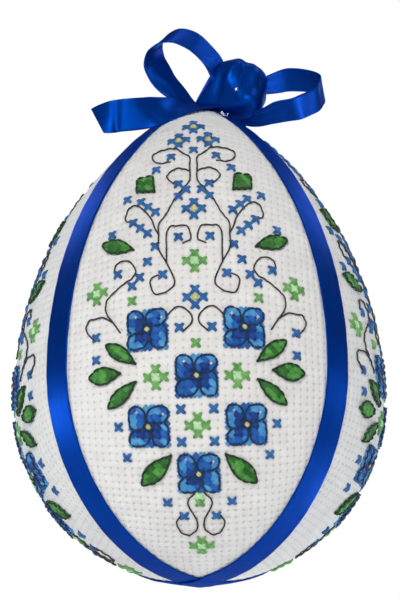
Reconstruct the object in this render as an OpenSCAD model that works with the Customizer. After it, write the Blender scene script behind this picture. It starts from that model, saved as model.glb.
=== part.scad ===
// Cross-stitched egg ornament: a foam egg under four stitched cloth gores,
// with satin ribbon over the seams and a ribbon bow pinned to the tip.
// Millimetres. +Z runs up the egg's axis from the lowest point of the ribbon, and
// the front gore's middle faces -Y.

/* [Egg] */
// Radius of the covered egg at its widest
egg_r = 39.6; // [38:0.1:41]
// Radius of the long side arc, from the equator up to the tip cap
side_r = 80.8; // [78:0.1:84]
// Height of the tip cap's centre above the equator
tip_h = 55; // [50:0.1:56]
// Thickness of the cloth over the foam
cloth_t = 0.8; // [0.6:0.1:1]

/* [Stitches] */
// Stitch width across a gore, 16 stitches to the inch
stitch_w = 1.5875; // [1.5:0.0125:1.65]
// Stitch height up a gore, where the cloth is pulled longer
stitch_h = 1.63; // [1.6:0.01:1.7]
// How much taller each row is than the one below it, as a share of the stitch height
row_growth = 0.0021; // [0:0.0001:0.0025]
// How much faster the rows grow towards the tip
tip_growth = 0.00007; // [0:0.00001:0.0001]
// How far the chart's row 0 lies below the equator, in rows
chart_drop = 8.9; // [8:0.05:9.5]
// How fully the rows droop as straight threads do on a ball
row_droop = 0.65; // [0.5:0.01:1]
// How far a stitch stands out of the cloth
floss_t = 0.4; // [0.3:0.05:0.5]

/* [Ribbon] */
// Width of the ribbon over the seams
seam_w = 6.2; // [5:0.1:7]
// Width of the bow's ribbon
bow_w = 7.2; // [6:0.1:7.5]
// Thickness of either ribbon
ribbon_t = 0.35; // [0.3:0.05:0.4]

/* [Hidden] */
SIDES = ["front", "right", "back", "left"];
FLOSSES = ["blue_floss", "outline_floss", "yellow_floss", "green_floss",
           "mint_floss", "leaf_floss", "scroll_floss"];
BOW = ["bow_loop_left", "bow_loop_right", "bow_knot", "bow_tail_left", "bow_tail_back", "bow_pin",
       "bow_pin_low"];

deg = 180 / PI;
smooth = 96;
pin_r = 0.3;
equator_z = egg_r + 2 * ribbon_t;
// The side arc's centre lies beyond the axis, and the tip cap is tangent to that arc.
side_x = egg_r - side_r;
tip_r = side_r - norm([side_x, tip_h]);
join_angle = atan2(tip_h, -side_x);
join_s = side_r * join_angle / deg;
tip_z = equator_z + tip_h + tip_r;

// Each gore's place: its middle's longitude, the chart's offset in rows and its slant.
GORES = [["front", 0, 0, 1.1], ["right", 88.8, -0.4, 7], ["back", 180, -1, 1], ["left", -90.2, -2.2, -0.5]];
function gore(side) = GORES[search([side], GORES)[0]];

// The chart's left half, as [column, row] of stitch centres. Row 0 is near the equator.
FLOWERS = [[-6, 11], [0, 5], [-6, -1], [0, -7]];
GREEN_STARS = [[-5, 5], [0, -1], [0, 19.6], [-13, 17], [0, -18]];
BLUE_STARS = [[0, 14.8], [0, 27], [-2, 39.2], [0, 42.2]];
GREEN_SINGLES = [[0, 9], [-8, 15], [0, -11]];
BLUE_SINGLES = [
    [0, 37], [-3, 36], [-5, 34], [-2, 31], [-9, 30], [-1, 30], [-7, 29], [-2, 29],
    [-6, 28], [-5, 27], [-8, 26], [-7, 25], [-11, 25], [-6, 24], [-2, 23], [-5, 22],
    [-6, 20], [-10, 19], [-4, 18], [-7, 18], [-8, 17], [-2, 11], [-13, 11], [-13, 8],
    [-2, 1], [-10, -1], [-2, -3], [-9, -5], [-4, -11], [-2, -13]];
// Leaves, as [tip column, tip row, far column, far row, half width in stitches].
LEAVES = [
    [-7.5, 6.8, -11.5, 9.8, 0.9], [-9.5, 5.8, -14, 5.6, 1.1], [-7.5, 4.6, -11.3, 1.4, 0.9],
    [-3.3, -4.6, -7.2, -8.6, 1.1], [-8, 22.4, -12.4, 24.2, 1.1], [-5, 30.2, -7.3, 33.6, 1.5]];
// Backstitch scrolls, as the corners that their stitches run between.
SCROLLS = [
    [[-3, 35], [-4.5, 35], [-5.5, 36], [-5.5, 37], [-4.5, 37.5], [-2.5, 37.5], [-1.5, 36.5],
     [-0.5, 35.5], [-0.5, 34], [-0.5, 31.5], [-1.5, 30], [-2.5, 28.5], [-3.5, 26.5], [-4.5, 25],
     [-4.5, 23.5], [-4.5, 21.5], [-3.5, 19.5], [-2.5, 17], [-3, 16], [-4, 15.5], [-5, 15.5],
     [-5.5, 16.5], [-5.5, 17.5], [-4.5, 18]],
    [[-0.5, 33], [-1.5, 33.5], [-2.5, 33.5], [-3.5, 32.5], [-3, 31.5], [-2.5, 31]],
    [[-4.5, 23.5], [-5, 24.5], [-5.5, 26], [-6.5, 27.5], [-7.5, 28.5], [-8.5, 28.5],
     [-9, 27.5], [-9, 26.5], [-8, 26]],
    [[-3.5, 19.5], [-3.5, 21.5], [-3.5, 23.5], [-3, 24.5], [-2, 24.5], [-1, 24.5],
     [-0.5, 23.5], [-0.5, 22.5], [-1.5, 22]],
    [[-10.5, 19.5], [-10, 20.5], [-8.5, 20.5], [-7.5, 19], [-8, 18], [-9, 17.5], [-10.5, 16.5],
     [-11.5, 15.5], [-11.5, 14], [-10.5, 12.5], [-9.5, 11]],
    [[-10.5, 12.5], [-12, 13.5], [-13, 13.5], [-14, 13.5], [-14.5, 12.5], [-14, 11.5],
     [-13, 10.5]],
    [[-3.5, 12.5], [-2.5, 13.5], [-1.5, 13.5], [-0.5, 12.5], [-0.5, 11.5], [-1.5, 10.5]],
    [[-0.5, -9.5], [-1.5, -11], [-0.5, -13.5], [-0.5, -15], [-1.5, -16], [-2.5, -15.5],
     [-3, -14], [-2.5, -13]]];

// Each motif on the left, and its mirror image where it isn't on the middle column.
function both(points) = concat(points, [for (p = points) if (p[0] != 0) [-p[0], p[1]]]);

// [radius, height above the equator, angle of the normal] at arc length s up a meridian.
function meridian(s) =
    s < 0 ? let (a = s / egg_r * deg) [egg_r * cos(a), egg_r * sin(a), a]
    : s < join_s ? let (a = s / side_r * deg) [side_x + side_r * cos(a), side_r * sin(a), a]
    : let (a = join_angle + (s - join_s) / tip_r * deg) [tip_r * cos(a), tip_h + tip_r * sin(a), a];

// A chart point on a gore: [longitude, radius, height, normal's angle, turn of the row].
function on_gore(column, row, side) =
    let (
        g = gore(side),
        r = row - chart_drop + g[2],
        across = column * cos(g[3]) - r * sin(g[3]),
        up = column * sin(g[3]) + r * cos(g[3]),
        s = up * stitch_h * (1 + row_growth * up + tip_growth * up * up),
        m = meridian(s),
        ball_r = m[0] / cos(m[2]),
        t = across * stitch_w / ball_r * deg,
        sunk = m[2] - asin(sin(m[2]) * cos(t)),
        n = meridian(s - row_droop * ball_r * sunk / deg),
        lon = g[1] + atan2(sin(t), cos(m[2]) * cos(t)),
        turn = g[3] - row_droop * atan(sin(m[2]) * tan(t)))
    [lon, n[0], n[1], n[2], turn];

// A chart point as a place in space.
function place(column, row, side) =
    let (q = on_gore(column, row, side))
    [q[1] * sin(q[0]), -q[1] * cos(q[0]), equator_z + q[2]];

// Puts children on the cloth, with their +Z outwards and +Y up the gore.
module on_cloth(column, row, side) {
    q = on_gore(column, row, side);
    rotate([0, 0, q[0]])
        translate([0, -q[1], equator_z + q[2]])
            rotate([90 - q[3], 0, 0])
                rotate([0, 0, q[4]])
                    children();
}

// Half of the egg's outline, grown by t, from the axis outwards.
module half_outline(t) {
    far = 2 * side_r;
    intersection() {
        circle(r = egg_r + t, $fn = smooth);
        translate([0, -far]) square([far, far]);
    }
    intersection() {
        translate([side_x, 0]) circle(r = side_r + t, $fn = smooth);
        polygon([[0, 0], [far, 0], [side_x + far * cos(join_angle), far * sin(join_angle)],
                 [0, tip_h]]);
    }
    intersection() {
        translate([0, tip_h]) circle(r = tip_r + t, $fn = smooth);
        square([far, far]);
    }
}

// A shell over the egg between two heights above its surface, through the given angle.
module egg_shell(inner, outer, angle = 360) {
    translate([0, 0, equator_z])
        rotate_extrude(angle = angle, $fn = smooth)
            difference() {
                half_outline(outer);
                half_outline(inner);
            }
}

module foam_egg() {
    color("white")
        translate([0, 0, equator_z])
            rotate_extrude($fn = smooth)
                half_outline(-cloth_t);
}

module cloth(side) {
    index = search([side], SIDES)[0];
    color("ivory")
        rotate([0, 0, 90 * index - 135])
            egg_shell(-cloth_t, 0, 90);
}

// A stitch or a block of stitches, as a flat pad on the cloth.
module pad(column, row, side, wide = 1, high = 1) {
    gap = 0.15;
    on_cloth(column, row, side)
        translate([-wide * stitch_w / 2 + gap / 2, -high * stitch_h / 2 + gap / 2, 0])
            cube([wide * stitch_w - gap, high * stitch_h - gap, floss_t]);
}

// The arms of a small star round its centre stitch.
module star_arms(column, row, side) {
    for (step = [[-1, 0], [1, 0], [0, -1], [0, 1]])
        pad(column + step[0], row + step[1], side);
}

// Four petals of two by two stitches, with one stitch between each pair.
module petals(column, row, side) {
    for (sx = [-1, 1])
        for (sy = [-1, 1])
            pad(column + 1.5 * sx, row + 1.5 * sy, side, 2, 2);
    star_arms(column, row, side);
}

// One backstitch between two chart corners, as a bar across the cloth.
module backstitch(from, to, side, wide = 0.35) {
    a = place(from[0], from[1], side);
    b = place(to[0], to[1], side);
    q = on_gore((from[0] + to[0]) / 2, (from[1] + to[1]) / 2, side);
    long = norm(b - a) - 0.25;
    slant = atan2((to[1] - from[1]) * stitch_h, (to[0] - from[0]) * stitch_w);
    on_cloth((from[0] + to[0]) / 2, (from[1] + to[1]) / 2, side)
        rotate([0, 0, slant])
            translate([-long / 2, -wide / 2, 0])
                cube([long, wide, floss_t / 2]);
}

// A pointed leaf between its two ends, where two round edges meet.
module leaf(ends, side, mirrored) {
    sx = mirrored ? -1 : 1;
    run = [sx * (ends[2] - ends[0]) * stitch_w, (ends[3] - ends[1]) * stitch_h];
    half = norm(run) / 2;
    belly = ends[4] * stitch_w;
    arc_r = (half * half + belly * belly) / (2 * belly);
    on_cloth(sx * (ends[0] + ends[2]) / 2, (ends[1] + ends[3]) / 2, side)
        rotate([0, 0, atan2(run[1], run[0])])
            linear_extrude(floss_t)
                intersection() {
                    translate([0, arc_r - belly]) circle(r = arc_r, $fn = smooth);
                    translate([0, belly - arc_r]) circle(r = arc_r, $fn = smooth);
                }
}

module blue_floss(side) {
    color("royalblue") {
        for (p = both(FLOWERS)) petals(p[0], p[1], side);
        for (p = both(BLUE_STARS)) star_arms(p[0], p[1], side);
        for (p = both(BLUE_SINGLES)) pad(p[0], p[1], side);
    }
}

// The dark line round each flower, one stitch beyond each pair of petals.
module outline_floss(side) {
    reach = 2.75;
    edge = 2.2;
    color("midnightblue")
        for (p = both(FLOWERS))
            for (sx = [-1, 1])
                for (sy = [-1, 1]) {
                    backstitch([p[0] + sx * reach, p[1] + sy * 0.6],
                               [p[0] + sx * reach, p[1] + sy * edge], side);
                    backstitch([p[0] + sx * 0.6, p[1] + sy * reach],
                               [p[0] + sx * edge, p[1] + sy * reach], side);
                }
}

module yellow_floss(side) {
    color("khaki") {
        for (p = both(FLOWERS)) pad(p[0], p[1], side);
        for (p = both(BLUE_STARS)) pad(p[0], p[1], side);
    }
}

module green_floss(side) {
    color("limegreen") {
        for (p = both(GREEN_STARS)) star_arms(p[0], p[1], side);
        for (p = both(GREEN_SINGLES)) pad(p[0], p[1], side);
    }
}

module mint_floss(side) {
    color("palegreen") {
        for (p = both(GREEN_STARS)) pad(p[0], p[1], side);
        pad(0, -10, side);
    }
}

module leaf_floss(side) {
    color("forestgreen")
        for (ends = LEAVES)
            for (mirrored = [false, true])
                leaf(ends, side, mirrored);
}

module scroll_floss(side) {
    color("dimgray")
        for (scroll = SCROLLS)
            for (sx = [-1, 1])
                for (i = [1 : len(scroll) - 1])
                    backstitch([sx * scroll[i - 1][0], scroll[i - 1][1]],
                               [sx * scroll[i][0], scroll[i][1]], side);
}

// A band of ribbon right round the egg over two opposite seams.
module seam_band(inner, angle) {
    far = 2 * (equator_z + tip_z);
    intersection() {
        egg_shell(inner, inner + ribbon_t);
        rotate([0, 0, angle])
            translate([-far / 2, -seam_w / 2, -far / 2])
                cube([far, seam_w, 2 * far]);
    }
}

// The square column round the axis where the two bands cross.
module crossing(wide) {
    far = 2 * tip_z;
    rotate([0, 0, 45])
        translate([-wide / 2, -wide / 2, -far / 2])
            cube([wide, wide, 2 * far]);
}

module seam_ribbon_under() {
    color("mediumblue")
        seam_band(0, 45);
}

// The upper band lies on the cloth and steps over the lower one at both poles.
module seam_ribbon_over() {
    step = 1.2;
    color("mediumblue") {
        difference() {
            seam_band(0, -45);
            crossing(seam_w);
        }
        intersection() {
            seam_band(ribbon_t, -45);
            crossing(seam_w + 2 * step);
        }
    }
}

// The bow's ribbons, as [middle, direction across the ribbon] at points along each, both
// measured from the egg's tip.
LEFT_LOOP = [
    [[-0.6, -3.8, 0], [5, 4.5, 2.5]], [[-3.3, -5.2, 0.9], [5.5, 3.5, 2]],
    [[-5.8, -6.2, 2.9], [6, 3, 2]], [[-7.9, -6.5, 5.7], [6, 3, 2]],
    [[-9.4, -6, 9.2], [5.2, 3.8, 2]], [[-9.9, -5.4, 12.4], [3.5, 5.2, 2]],
    [[-9.5, -5.2, 14.8], [1.9, 5.3, 3.5]], [[-7.8, -5.5, 16.4], [1.3, 5, 4.7]],
    [[-5, -6, 16.9], [1.5, 4, 5.5]], [[-1.9, -6, 15.7], [2.5, 3.5, 5.5]],
    [[0.8, -6, 13.3], [3, 4, 5]], [[3.2, -6, 10.3], [3.5, 4, 4.5]],
    [[4.5, -5.6, 7], [4, 4, 4]], [[5, -5, 3.5], [4.5, 4, 3.5]]];
RIGHT_LOOP = [
    [[12, -1.5, 5.4], [0, 6.5, -2.5]], [[15.2, -1, 6.6], [0.5, 6.5, -2.5]],
    [[18.3, -0.5, 7.7], [0.5, 6.5, -2.5]], [[21.2, -0.5, 8.2], [0.5, 6.5, -2.5]],
    [[24, -0.5, 8.1], [1, 6.5, -2.5]], [[26.4, -1, 7.3], [1, 6.5, -2.5]],
    [[27.9, -2, 5.9], [1, 6.5, -2.5]], [[28, -3.5, 3.6], [1.5, 6.5, -2.5]],
    [[27, -4.5, 1.5], [1, 6.5, -2.5]], [[25, -5.5, 0], [1, 6.5, -2.5]],
    [[22.5, -6.5, -1.4], [0.5, 6.5, -2.5]], [[19.5, -6.5, -2.2], [0, 6.5, -2.5]],
    [[16.5, -6.3, -2.8], [-0.5, 6.5, -2.5]], [[14, -5.4, -3.3], [-1, 6.5, -2]],
    [[11.8, -4.6, -3.2], [-1.3, 6.5, -1.7]], [[9.8, -4, -2.5], [-1.5, 6.5, -1.5]]];
LEFT_TAIL = [
    [[5, -4.2, 0], [-0.5, 6, 3.5]], [[2.5, -5.4, -0.6], [-0.5, 6, 3.5]],
    [[-0.2, -6.6, -1.2], [-1, 5.5, 4]], [[-3, -8, -1.9], [-1.5, 4.5, 5]],
    [[-6, -9.5, -3], [-1, 2.5, 6.5]], [[-9, -11.4, -4.5], [-0.5, 0.5, 7]],
    [[-11.6, -12.5, -5.4], [-0.5, -1.5, 7]], [[-14.7, -13, -6], [-0.5, -2, 6.5]],
    [[-17.9, -13, -6.3], [-1, -2, 6.5]], [[-20.2, -12.4, -6.6], [-2, -0.6, 6.2]],
    [[-22.3, -11.5, -6.8], [-2.7, 1.2, 5.8]]];
BACK_TAIL = [
    [[6.5, -1, 3], [6.5, -1, 1]], [[6.5, 2, 3], [6.5, -0.5, 1]], [[7, 6, 1], [7, 0, 0.5]],
    [[8, 10, -3], [7, 0.5, 0.5]], [[9.5, 13.5, -7.5], [6.5, 1, 1]],
    [[11.5, 16.5, -12.5], [6.5, 1, 2]]];

// Corners of a ribbon's cross-section at one point of its route.
function rib_ring(route, i) =
    let (
        last = len(route) - 1,
        here = route[i][0],
        along = route[min(i + 1, last)][0] - route[max(i - 1, 0)][0],
        across = route[i][1] / norm(route[i][1]) * bow_w / 2,
        up = cross(along, across),
        lift = up / norm(up) * ribbon_t / 2)
    [for (corner = [[-1, -1], [1, -1], [1, 1], [-1, 1]])
        here + corner[0] * across + corner[1] * lift];

// A ribbon of the bow: one closed strip along its route.
module strip(route) {
    rings = len(route);
    points = [for (i = [0 : rings - 1]) for (p = rib_ring(route, i)) p + [0, 0, tip_z]];
    sides = [for (i = [0 : rings - 2]) for (k = [0 : 3])
        let (a = 4 * i + k, b = 4 * i + (k + 1) % 4)
        [a, b, b + 4, a + 4]];
    ends = [[3, 2, 1, 0], [for (k = [0 : 3]) 4 * (rings - 1) + k]];
    polyhedron(points, concat(sides, ends), convexity = 4);
}

module bow_loop_left() {
    color("mediumblue") strip(LEFT_LOOP);
}

module bow_loop_right() {
    color("mediumblue") strip(RIGHT_LOOP);
}

module bow_tail_left() {
    color("mediumblue") strip(LEFT_TAIL);
}

module bow_tail_back() {
    color("mediumblue") strip(BACK_TAIL);
}

// The soft wrap at the middle of the bow, resting on the egg's tip.
KNOT = [[0.7, -3, 1.3, 1.5], [6.6, -5, 7, 3.6], [8.6, -4.6, 7.1, 4], [11.8, -4.5, 5.9, 3.7],
        [10.6, -5.5, 0.3, 3.8], [11.8, -3.6, 2.4, 3.4]];
module bow_knot() {
    color("mediumblue")
        hull()
            for (ball = KNOT)
                translate([ball[0], ball[1], tip_z + ball[2]])
                    sphere(r = ball[3], $fn = 32);
}

// A dressmaker's pin through the knot's front, down into the foam.
module bow_pin() {
    head_r = 0.55;
    reach = 18;
    color("silver")
        translate([8.4, -9, tip_z + 1.8])
            rotate([50, 0, 27]) {
                sphere(r = head_r, $fn = 32);
                translate([0, 0, -reach]) cylinder(r = pin_r, h = reach, $fn = 32);
            }
}

// A second pin across the ribbon just under the knot, with its point in the foam.
module bow_pin_low() {
    color("silver")
        translate([4.9, -8.8, tip_z - 3.5])
            rotate([0, 120, 35.5])
                cylinder(r = pin_r, h = 5, $fn = 32);
}

foam_egg();
for (side = SIDES) {
    cloth(side);
    blue_floss(side);
    outline_floss(side);
    yellow_floss(side);
    green_floss(side);
    mint_floss(side);
    leaf_floss(side);
    scroll_floss(side);
}
seam_ribbon_under();
seam_ribbon_over();
bow_loop_left();
bow_loop_right();
bow_knot();
bow_tail_left();
bow_tail_back();
bow_pin();
bow_pin_low();
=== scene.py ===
"""Looks of a cross-stitched egg: cloth gores over foam, floss, satin seam ribbons and a bow."""
import math

import bpy
import numpy as np
from mathutils import Matrix, Vector


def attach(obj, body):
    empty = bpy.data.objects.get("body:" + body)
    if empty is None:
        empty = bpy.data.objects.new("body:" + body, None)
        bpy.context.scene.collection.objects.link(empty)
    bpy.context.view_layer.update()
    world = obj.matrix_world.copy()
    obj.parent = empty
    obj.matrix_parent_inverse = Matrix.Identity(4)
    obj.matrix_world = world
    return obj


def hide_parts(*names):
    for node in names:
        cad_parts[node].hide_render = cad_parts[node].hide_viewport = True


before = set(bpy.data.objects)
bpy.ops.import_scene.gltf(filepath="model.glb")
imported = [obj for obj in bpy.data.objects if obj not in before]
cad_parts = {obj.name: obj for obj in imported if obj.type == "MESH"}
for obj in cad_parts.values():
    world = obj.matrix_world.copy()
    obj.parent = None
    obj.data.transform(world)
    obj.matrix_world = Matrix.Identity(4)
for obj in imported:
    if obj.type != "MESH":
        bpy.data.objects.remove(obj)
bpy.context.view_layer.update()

MM = 0.001
rng = np.random.default_rng(7)

# The egg and the chart's places on it, as in the CAD source.
EGG_R = 39.6 * MM
SIDE_R = 80.8 * MM
TIP_H = 55 * MM
RIBBON_T = 0.35 * MM
SEAM_W = 6.2 * MM
BOW_W = 7.2 * MM
STITCH_W = 1.5875 * MM
STITCH_H = 1.63 * MM
ROW_GROWTH = 0.0021
TIP_GROWTH = 0.00007
CHART_DROP = 8.9
ROW_DROOP = 0.65
EQUATOR_Z = EGG_R + 2 * RIBBON_T
SIDE_X = EGG_R - SIDE_R
TIP_R = SIDE_R - math.hypot(SIDE_X, TIP_H)
JOIN_ANGLE = math.atan2(TIP_H, -SIDE_X)
JOIN_S = SIDE_R * JOIN_ANGLE
TIP_Z = EQUATOR_Z + TIP_H + TIP_R
TIP = np.array([0, 0, TIP_Z])

# Each gore: its chart's longitude, offset in rows and slant, and its cloth's longitude, in degrees.
GORES = {
    "front": (0, 0, 1.1, 0),
    "right": (88.8, -0.4, 7, 90),
    "back": (180, -1, 1, 180),
    "left": (-90.2, -2.2, -0.5, -90),
}

# ---------------------------------------------------------------- camera
# The camera looks a little upwards. Its lens and sensor are in millimetres.
CAMERA_PLACE = Vector((5.77, -351.87, -56.99)) * MM
CAMERA_AIM = Vector((0.17, 0, 62.87)) * MM
CAMERA_LENS = 101.9
SENSOR_HEIGHT = 36

camera_data = bpy.data.cameras.new("camera")
camera = bpy.data.objects.new("camera", camera_data)
bpy.context.scene.collection.objects.link(camera)
camera.location = CAMERA_PLACE
camera.rotation_euler = (CAMERA_AIM - camera.location).to_track_quat("-Z", "Y").to_euler()
camera_data.sensor_fit = "VERTICAL"
camera_data.sensor_height = SENSOR_HEIGHT
camera_data.lens = CAMERA_LENS
camera_data.clip_start = 0.01
bpy.context.scene.camera = camera


# ---------------------------------------------------------------- materials
def srgb(red, green, blue):
    """A colour given as 0 to 255 screen values, in linear light."""
    linear = []
    for value in (red, green, blue):
        value /= 255
        linear.append(value / 12.92 if value <= 0.04045 else ((value + 0.055) / 1.055) ** 2.4)
    return (*linear, 1)


class Shader:
    """A material with one Principled shader, and short calls that add nodes to it."""

    def __init__(self, name, roughness, **sockets):
        self.material = bpy.data.materials.new(name)
        self.material.use_nodes = True
        self.nodes = self.material.node_tree.nodes
        self.links = self.material.node_tree.links
        self.shader = self.nodes["Principled BSDF"]
        self.shader.inputs["Roughness"].default_value = roughness
        for socket, value in sockets.items():
            self.shader.inputs[socket.replace("_", " ")].default_value = value

    def add(self, kind, **inputs):
        """A node with its inputs linked or set."""
        node = self.nodes.new(kind)
        for name, value in inputs.items():
            socket = node.inputs[name]
            if isinstance(value, bpy.types.NodeSocket):
                self.links.new(value, socket)
            else:
                socket.default_value = value
        return node

    def place(self, attribute=None, scale=(1, 1, 1)):
        """Coordinates of the object's own space, or of a stored attribute, scaled."""
        if attribute:
            source = self.nodes.new("ShaderNodeAttribute")
            source.attribute_name = attribute
            vector = source.outputs["Vector"]
        else:
            vector = self.nodes.new("ShaderNodeTexCoord").outputs["Object"]
        return self.add("ShaderNodeMapping", Vector=vector, Scale=scale).outputs["Vector"]

    def noise(self, vector, scale, detail=3.0, rough=0.5):
        node = self.add("ShaderNodeTexNoise", Vector=vector, Scale=scale, Detail=detail, Roughness=rough)
        return node.outputs["Fac"]

    def ramp(self, factor, stops):
        """A colour ramp with a stop at each (position, colour)."""
        node = self.add("ShaderNodeValToRGB", Fac=factor)
        elements = node.color_ramp.elements
        while len(elements) < len(stops):
            elements.new(0.5)
        for element, (position, colour) in zip(elements, stops):
            element.position = position
            element.color = colour
        return node.outputs["Color"]

    def math(self, operation, first, second=0.0):
        node = self.nodes.new("ShaderNodeMath")
        node.operation = operation
        for socket, value in zip(node.inputs, (first, second)):
            if isinstance(value, bpy.types.NodeSocket):
                self.links.new(value, socket)
            else:
                socket.default_value = value
        return node.outputs[0]

    def colour(self, output):
        self.links.new(output, self.shader.inputs["Base Color"])

    def roughness(self, factor, low, high):
        node = self.add("ShaderNodeMapRange", Value=factor)
        node.inputs["To Min"].default_value = low
        node.inputs["To Max"].default_value = high
        self.links.new(node.outputs[0], self.shader.inputs["Roughness"])

    def bump(self, height, distance, strength=1.0):
        node = self.add("ShaderNodeBump", Height=height, Strength=strength, Distance=distance)
        self.links.new(node.outputs["Normal"], self.shader.inputs["Normal"])


THREADS_A_STITCH = 4


def aida_material():
    """White 16-count cloth: soft threads and fine fibres, with painted shade that darkens the holes."""
    look = Shader("aida_cloth", 0.85, Sheen_Weight=0.12)
    place = look.place()
    patches = look.noise(place, 260, 4)
    fibres = look.noise(place, 3200, 3)
    shade = look.math("ADD", look.math("MULTIPLY", patches, 0.55), look.math("MULTIPLY", fibres, 0.45))
    cloth = look.ramp(shade, [(0.3, srgb(238, 230, 228)), (0.7, srgb(255, 250, 246))])
    split = look.add("ShaderNodeSeparateXYZ", Vector=look.place("chart"))
    # The grey mixed into the cloth's colour in the holes, by the chart attribute's third value, is
    # painted shade.
    holes = look.nodes.new("ShaderNodeMix")
    holes.data_type = "RGBA"
    look.links.new(split.outputs[2], holes.inputs[0])
    look.links.new(cloth, holes.inputs[6])
    holes.inputs[7].default_value = srgb(192, 176, 178)
    look.colour(holes.outputs[2])
    pitch = 2 * THREADS_A_STITCH * math.pi
    warp = look.math("SINE", look.math("MULTIPLY", split.outputs[0], pitch))
    weft = look.math("SINE", look.math("MULTIPLY", split.outputs[1], pitch))
    height = look.math("ADD", look.math("MULTIPLY", look.math("MULTIPLY", warp, weft), 0.35), fibres)
    look.roughness(fibres, 0.78, 0.95)
    look.bump(height, 0.00006)
    return look.material


def floss_material(name, dark, light):
    """Six-stranded cotton: a soft shine, fine twist lines and small shifts of shade."""
    look = Shader(name, 0.5, Sheen_Weight=0.1)
    look.shader.inputs["Specular IOR Level"].default_value = 0.35
    place = look.place()
    tone = look.noise(place, 700, 3)
    look.colour(look.ramp(tone, [(0.32, srgb(*dark)), (0.68, srgb(*light))]))
    twist = look.noise(place, 5200, 2)
    look.roughness(twist, 0.42, 0.68)
    look.bump(twist, 0.00005)
    return look.material


def satin_material(name, deep, bright):
    """Royal-blue satin ribbon: lengthwise float lines and slight cloudiness."""
    look = Shader(name, 0.36, Metallic=0.75)
    look.shader.inputs["Specular IOR Level"].default_value = 0.25
    look.shader.inputs["Specular Tint"].default_value = (0.1, 0.5, 1.0, 1)
    run = look.place("run", (90, 5200, 1))
    lines = look.noise(run, 1, 3, 0.6)
    clouds = look.noise(look.place(), 110, 2)
    tone = look.math("ADD", look.math("MULTIPLY", lines, 0.6), look.math("MULTIPLY", clouds, 0.4))
    look.colour(look.ramp(tone, [(0.3, srgb(*deep)), (0.7, srgb(*bright))]))
    look.roughness(lines, 0.36, 0.48)
    look.bump(lines, 0.00003, 0.5)
    return look.material


def foam_material():
    """Pressed polystyrene: white beads with fine seams between them."""
    look = Shader("foam_beads", 0.9)
    cells = look.add("ShaderNodeTexVoronoi", Vector=look.place(), Scale=420).outputs["Distance"]
    look.colour(look.ramp(cells, [(0.0, srgb(250, 250, 248)), (0.9, srgb(225, 225, 222))]))
    look.bump(cells, 0.0003)
    return look.material


def steel_material():
    """Nickel-plated pin steel with faint drawn lines."""
    look = Shader("pin_steel", 0.2, Metallic=1.0)
    lines = look.noise(look.place(scale=(1, 1, 0.1)), 4000, 2)
    look.colour(look.ramp(lines, [(0.3, srgb(200, 202, 208)), (0.7, srgb(240, 241, 245))]))
    look.roughness(lines, 0.15, 0.3)
    return look.material


# Flosses are given as their darker and lighter colours.
AIDA = aida_material()
SATIN = satin_material("satin_blue", (0, 54, 142), (0, 68, 172))
FOAM = foam_material()
STEEL = steel_material()
BLUE = floss_material("floss_blue", (28, 88, 152), (54, 120, 184))
PETAL_DARK = floss_material("floss_petal_dark", (10, 48, 124), (22, 74, 160))
PETAL_MID = floss_material("floss_petal_mid", (16, 88, 172), (34, 114, 200))
PETAL_LIGHT = floss_material("floss_petal_light", (50, 134, 206), (104, 182, 230))
OUTLINE = floss_material("floss_outline", (6, 36, 78), (16, 56, 98))
YELLOW = floss_material("floss_yellow", (208, 200, 122), (228, 222, 152))
GREEN = floss_material("floss_green", (84, 150, 68), (136, 192, 112))
MINT = floss_material("floss_mint", (182, 232, 170), (214, 248, 200))
LEAF = floss_material("floss_leaf", (30, 96, 30), (66, 132, 56))
LEAF_LIGHT = floss_material("floss_leaf_light", (62, 142, 50), (104, 176, 84))
LEAF_EDGE = floss_material("floss_leaf_edge", (8, 42, 12), (22, 62, 24))
SCROLL = floss_material("floss_scroll", (34, 26, 30), (62, 50, 54))


# ---------------------------------------------------------------- places on the egg
def meridian(s):
    """Radius, height above the equator and the normal's angle at arc lengths s up a meridian."""
    low = s / EGG_R
    side = s / SIDE_R
    cap = JOIN_ANGLE + (s - JOIN_S) / TIP_R
    below = s < 0
    beside = (s >= 0) & (s < JOIN_S)
    angle = np.where(below, low, np.where(beside, side, cap))
    radius = np.where(
        below,
        EGG_R * np.cos(low),
        np.where(beside, SIDE_X + SIDE_R * np.cos(side), TIP_R * np.cos(cap)),
    )
    height = np.where(
        below,
        EGG_R * np.sin(low),
        np.where(beside, SIDE_R * np.sin(side), TIP_H + TIP_R * np.sin(cap)),
    )
    return radius, height, angle


def on_cloth(columns, rows, side, lift=0.0):
    """Chart points as places in space, lifted off the cloth, with the normals there."""
    middle, offset, slant, _ = GORES[side]
    turn = math.radians(slant)
    r = np.asarray(rows, float) - CHART_DROP + offset
    across = columns * math.cos(turn) - r * math.sin(turn)
    up = columns * math.sin(turn) + r * math.cos(turn)
    s = up * STITCH_H * (1 + ROW_GROWTH * up + TIP_GROWTH * up * up)
    radius, _, angle = meridian(s)
    ball = radius / np.cos(angle)
    t = across * STITCH_W / ball
    sunk = angle - np.arcsin(np.clip(np.sin(angle) * np.cos(t), -1, 1))
    radius, height, tilt = meridian(s - ROW_DROOP * ball * sunk)
    lon = math.radians(middle) + np.arctan2(np.sin(t), np.cos(angle) * np.cos(t))
    normal = np.stack([np.cos(tilt) * np.sin(lon), -np.cos(tilt) * np.cos(lon), np.sin(tilt)], -1)
    place = np.stack([radius * np.sin(lon), -radius * np.cos(lon), EQUATOR_Z + height], -1)
    return place + np.asarray(lift)[..., None] * normal, normal, lon


# ---------------------------------------------------------------- meshes
def unit(vectors):
    """Vectors of the same directions and length one."""
    return vectors / np.maximum(np.linalg.norm(vectors, axis=-1, keepdims=True), 1e-12)


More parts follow.
